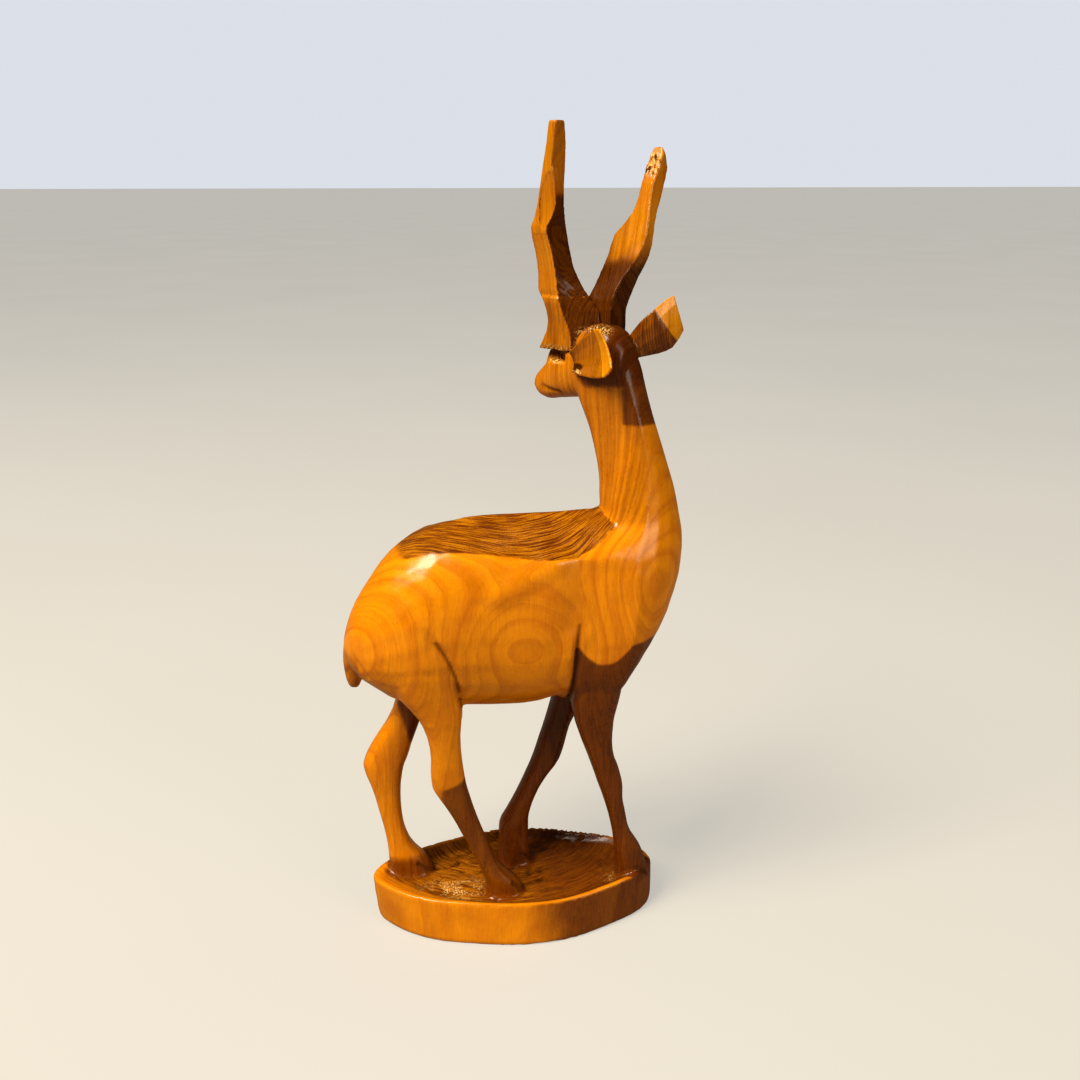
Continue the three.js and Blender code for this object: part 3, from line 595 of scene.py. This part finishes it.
def figured_areas(points, facing):
    """How much strongly streaked brown wood shows at each point of the block."""
    x, y, z = points.T
    # End grain on the long slope of the back soaks up more stain.
    back = ramp(facing[:, 2], 0.66, 0.8) * ramp(z, 160, 168) * ramp(x, 43, 39) * ramp(x, -48, -40)
    # The back half of the neck is browner than its front.
    neck = 0.42 * ramp(facing[:, 0] + 0.35 * facing[:, 1], 0.1, -0.2) * ramp(z, 176, 184)
    base_top = 0.85 * ramp(facing[:, 2], 0.1, 0.5) * ramp(z, RIM_Z, 18.6) * ramp(z, 12, 14)
    base_top *= ramp(x + 1.2 * y, -52, -44)
    return np.maximum.reduce([back, neck, base_top])


def body_marks(mesh, cut):
    points = points_of(mesh)
    _, y, z = points.T
    spots = in_head(points)
    s = spots[:, 0]
    near_side = ramp(y, -6, -12)
    # Darker along the creases, hoof clefts and mouth: stain held in the cuts, and painted shade in
    # them.
    creases = from_side(points, THIGH_CREASE[1:], 1.3) + from_side(points, SHOULDER_CREASE, 1.3)
    creases = creases * near_side
    creases += 0.8 * sum(along_path(points, line, 2.2) for line in [*CLEFTS, MOUTH])
    # Painted shade along the inside of the base's back edge, where the body shades it.
    inside_back = ramp(y, 10, 19) * ramp(z, 15, 16.5) * ramp(z, 22, 20.5)
    eye_slot = within(spots, (18.5, 8, 245), (9, 5.5, 2.6))
    stain_and_shade = 0.8 * inside_back + eye_slot + 0.7 * ramp(cut, 0.25, 1.0) + 0.8 * creases
    lip = within(spots, (18, 9.5, 242.2), (9, 4, 1.6))
    seam = within(spots, (-2, 5, 255.5), (8, 6, 3))
    scraped = 1.4 * within(points, (-27, -7, FLOOR_Z), (24, 13, 4)) * ramp(cut, 0.02, 0.25)
    scraped += within(points, (47, -9, FLOOR_Z), (12, 9, 4)) * ramp(cut, 0.02, 0.25)
    ear_root = within(spots, (3.4, 11.8, 240), (2.6, 3, 1.8))
    # Painted shade on the crown, between the ears and behind the horns.
    stain_and_shade += 0.4 * ramp(z, 234, 240) * ramp(s, 3, -2)
    mark(mesh, "stain_and_shade", stain_and_shade * ramp(scraped, 0.5, 0.2))
    mark(mesh, "raw", 1.6 * lip + 1.3 * seam + 0.75 * scraped + 1.5 * ear_root)


def body_piece(material):
    piece = remeshed("carved_body", "carved_block", BODY_VOXEL)
    mesh = piece.data
    fair(mesh, 40, 9)
    x, _, z = points_of(mesh).T
    belly = ramp(z, 108, 113) * ramp(z, 132, 124) * ramp(x, -21, -15) * ramp(x, 19, 13)
    soften(mesh, 30, belly)
    carve_body(mesh)
    cut = carve_floor(mesh)
    lip = within(in_head(points_of(mesh)), (18, 9.5, 242.6), (9, 5, 3))
    crumble(mesh, lip, 0.55, 1.8, 6)
    points = points_of(mesh)
    facing = normals_of(mesh)
    dark = dark_areas(points)
    figured = figured_areas(points, facing)
    mark(mesh, "dark_wood_and_shade", np.maximum(dark, figured))
    mark(mesh, "figure", 0.8 * ramp(figured - dark, -0.2, 0.9))
    body_marks(mesh, cut)
    finish_piece(piece, "carved_body", material)


# The leaf-shaped scallop cut into the left horn's outer side: its middle in the head's frame, half
# its width and height, how far its middle line leans, and how deep it is.
LEAF = {"z": 302.4, "s": 15.7, "half_width": 4.4, "half_height": 10.4, "lean": 0.19, "depth": 0.8}
# The long cut under it: where it starts and the step that it ends at.
LONG_CUT = {"top": 290.5, "step": 267, "depth": 1.1}


def outwardness(facing):
    """How far a surface faces the head's left: 1 fully, -1 fully to its right."""
    return facing[:, 1] * math.cos(HEAD_TURN) - facing[:, 0] * math.sin(HEAD_TURN)


def leaf_depth(s, z):
    middle = LEAF["s"] - LEAF["lean"] * (z - LEAF["z"])
    across = (s - middle) / LEAF["half_width"]
    up = (z - LEAF["z"]) / LEAF["half_height"]
    return np.sqrt(np.clip(1 - across**2 - up**2, 0, 1))


def cut_scallops(mesh):
    """Shallow knife cuts down the outer side of the left horn."""
    points = points_of(mesh)
    facing = normals_of(mesh)
    s, _, z = in_head(points).T
    share = ramp(outwardness(facing), 0.3, 0.7)
    down = np.clip((LONG_CUT["top"] - z) / (LONG_CUT["top"] - LONG_CUT["step"]), 0, 1)
    long_cut = np.where(z > LONG_CUT["step"], np.sqrt(down), 0)
    depth = LEAF["depth"] * leaf_depth(s, z) + LONG_CUT["depth"] * long_cut
    points -= facing * (share * depth)[:, None]
    move_points(mesh, points)


def horn_piece(node, material):
    piece = remeshed(node, node + "_carved", HORN_VOXEL)
    mesh = piece.data
    fair(mesh, 6, 8)
    if node == "horn_left":
        cut_scallops(mesh)
        fan_cuts(mesh)
    points = points_of(mesh)
    facing = normals_of(mesh)
    spots = in_head(points)
    s, t, z = spots.T
    if node == "horn_left":
        backward = -facing[:, 0] * math.cos(HEAD_TURN) - facing[:, 1] * math.sin(HEAD_TURN)
        # Painted shade on the horn's rear faces, deepest below z 306 where a painted shadow falls
        # on them.
        dark_wood_and_shade = 0.9 * ramp(backward, 0.25, 0.55) * ramp(z, 306, 303)
        dark_wood_and_shade += 0.35 * ramp(backward, 0.25, 0.55) * ramp(z, 303, 306)
        dark_wood_and_shade += 0.45 * ramp(z, 268, 264) * ramp(backward, 0.5, 0.2)
        dark_wood_and_shade += 0.3 * ramp(leaf_depth(s, z), 0, 0.3) * ramp(outwardness(facing), 0.3, 0.6)
        foot_edge = ramp(z, 249.5, 248) * ramp(t, 7, 10)
        rear_edge = ramp(z, 257, 254.5) * ramp(s, 8, 5)
        mark(mesh, "raw", 0.4 * foot_edge + 0.7 * rear_edge)
        # The stain on the darkest rear faces is more painted shade.
        mark(mesh, "stain_and_shade", 0.5 * foot_edge + 0.6 * ramp(dark_wood_and_shade, 0.6, 0.9))
    else:
        # Painted shadow over the lower far horn, below about z 280.
        dark_wood_and_shade = 0.25 + 0.7 * ramp(z + 3 * rough(points, 5, 8), 288, 274)
        snapped = ramp(within(spots, (-7, -17.6, 317), (6.5, 3.6, 7.5)), 0, 0.3)
        crumble(mesh, snapped, 0.45, 1.3, 9)
        holes = ramp(rough(points * (1, 1, 0.5), 1.3, 12), 0.05, 0.25)
        mark(mesh, "raw", 2 * snapped * (1 - holes))
        # Pits in the snapped tip are stained, and the stain over the lower horn is more painted
        # shadow.
        mark(mesh, "stain_and_shade", snapped * holes + 0.6 * ramp(dark_wood_and_shade, 0.5, 0.9))
    mark(mesh, "dark_wood_and_shade", dark_wood_and_shade)
    mark(mesh, "figure", np.full(len(mesh.vertices), 0.15))
    finish_piece(piece, node, material)


# Each ear's root and the way its leaf points, in the head's frame, and where its paler end
# strip, a painted highlight, starts.
EAR_LINES = {
    "ear_left": ((4.6, 12.8, 243.8), (-0.945, 0.033, 0.326), 13.8),
    "ear_right": ((-7.5, -9, 248), (-0.703, -0.439, 0.559), 15.2),
}


def ear_piece(node, material):
    piece = remeshed(node, node + "_carved", EAR_VOXEL)
    mesh = piece.data
    fair(mesh, 6, 6)
    root, line, painted_highlight_start = EAR_LINES[node]
    spots = in_head(points_of(mesh))
    along = (spots - np.array(root)) @ np.array(line)
    brown = 0.62 if node == "ear_left" else 0.9
    # The end strip is painted paler: a painted highlight.
    mark(mesh, "dark_wood_and_shade", brown - 0.62 * ramp(along, painted_highlight_start - 0.3, painted_highlight_start + 0.3))
    mark(mesh, "figure", np.full(len(along), 0.3))
    # A dark slot and a pale scar where the left ear was set in.
    slot = ramp(within(spots, (3.0, 11.9, 241.9), (3.6, 3, 1.8)), 0, 0.4)
    scar = ramp(within(spots, (2.6, 12.8, 239.6), (3, 3, 2)), 0, 0.4)
    # Painted shade darkens the root where the ear meets the head.
    mark(mesh, "stain_and_shade", 0.5 * ramp(along, 1.5, -1) + 1.2 * slot)
    mark(mesh, "raw", 2 * scar)
    finish_piece(piece, node, material)


block_wood = wood("block_wood")
horn_wood = wood("horn_wood", sap=(linear(208, 132, 10), linear(166, 96, 5)))
ear_wood = wood("ear_wood", sap=(linear(238, 156, 10), linear(212, 126, 6)))
body_piece(block_wood)
horn_piece("horn_left", horn_wood)
horn_piece("horn_right", horn_wood)
ear_piece("ear_left", ear_wood)
ear_piece("ear_right", ear_wood)

# ---------------------------------------------------------------------------------------------
# Stage: a plain pale floor, soft light and the camera.


# Half the floor's width in metres, wide enough for a level horizon, and how brightly it is seen.
FLOOR_HALF = 30.0
FLOOR_SEEN = 0.55


def floor():
    """A pale matt floor. It looks paler than the light it throws back up, so that the shaded
    sides of the wood stay dark."""
    side = FLOOR_HALF
    mesh = bpy.data.meshes.new("floor")
    corners = [(-side, -side, 0), (side, -side, 0), (side, side, 0), (-side, side, 0)]
    mesh.from_pydata(corners, [], [(0, 1, 2, 3)])
    plate = bpy.data.objects.new("floor", mesh)
    bpy.context.scene.collection.objects.link(plate)
    sh = Shader("floor_matt")
    place = sh.node("ShaderNodeTexCoord", {}).outputs["Object"]
    seen = sh.mix(sh.noise(place, 3.0, 2.0), linear(222, 219, 211), linear(230, 227, 220))
    path = sh.node("ShaderNodeLightPath", {}).outputs["Is Camera Ray"]
    inputs = {
        "Base Color": linear(132, 124, 110),
        "Roughness": 0.8,
        "Specular IOR Level": 0.1,
        "Emission Color": seen,
        "Emission Strength": sh.math("MULTIPLY", path, FLOOR_SEEN),
    }
    surface = sh.node("ShaderNodeBsdfPrincipled", inputs)
    sh.node("ShaderNodeOutputMaterial", {"Surface": surface.outputs[0]})
    mesh.materials.append(sh.material)


def area_light(name, place, target, size, power, colour):
    light = bpy.data.lights.new(name, "AREA")
    light.size = size
    light.energy = power
    light.color = colour
    lamp = bpy.data.objects.new(name, light)
    lamp.location = place
    lamp.rotation_euler = (Vector(target) - Vector(place)).to_track_quat("-Z", "Y").to_euler()
    bpy.context.scene.collection.objects.link(lamp)


# How bright the room looks, how much it lights and how much of it shows in the varnish.
ROOM_SEEN = 1.0
ROOM_LIGHT = 0.26
ROOM_REFLECTED = 0.06


def world_light():
    world = bpy.data.worlds.new("studio")
    world.use_nodes = True
    tree = world.node_tree
    background = tree.nodes["Background"]
    background.inputs["Color"].default_value = linear(205, 209, 216)
    path = tree.nodes.new("ShaderNodeLightPath")
    glossy = tree.nodes.new("ShaderNodeMapRange")
    glossy.inputs[3].default_value = ROOM_LIGHT
    glossy.inputs[4].default_value = ROOM_REFLECTED
    strength = tree.nodes.new("ShaderNodeMapRange")
    strength.inputs[4].default_value = ROOM_SEEN
    tree.links.new(path.outputs["Is Glossy Ray"], glossy.inputs[0])
    tree.links.new(path.outputs["Is Camera Ray"], strength.inputs[0])
    tree.links.new(glossy.outputs[0], strength.inputs[3])
    tree.links.new(strength.outputs[0], background.inputs["Strength"])
    bpy.context.scene.world = world


def camera():
    data = bpy.data.cameras.new("camera")
    data.sensor_width = 36
    data.lens = 36.07
    data.clip_start = 0.01
    eye = bpy.data.objects.new("camera", data)
    eye.location = (-0.066, -0.4049, 0.311)
    eye.rotation_euler = (math.radians(90 - 18.6), 0, math.radians(-11))
    bpy.context.scene.collection.objects.link(eye)
    bpy.context.scene.camera = eye


floor()
area_light("key", (-1.0, -0.5, 1.55), (0, 0, 0.15), 0.9, 50, (1.0, 0.95, 0.85))
area_light("front", (1.2, -1.35, 0.75), (0, 0, 0.15), 1.0, 13, (1.0, 0.95, 0.88))
world_light()
camera()
bpy.context.scene.view_settings.view_transform = "Standard"
bpy.context.scene.view_settings.look = "Medium High Contrast"
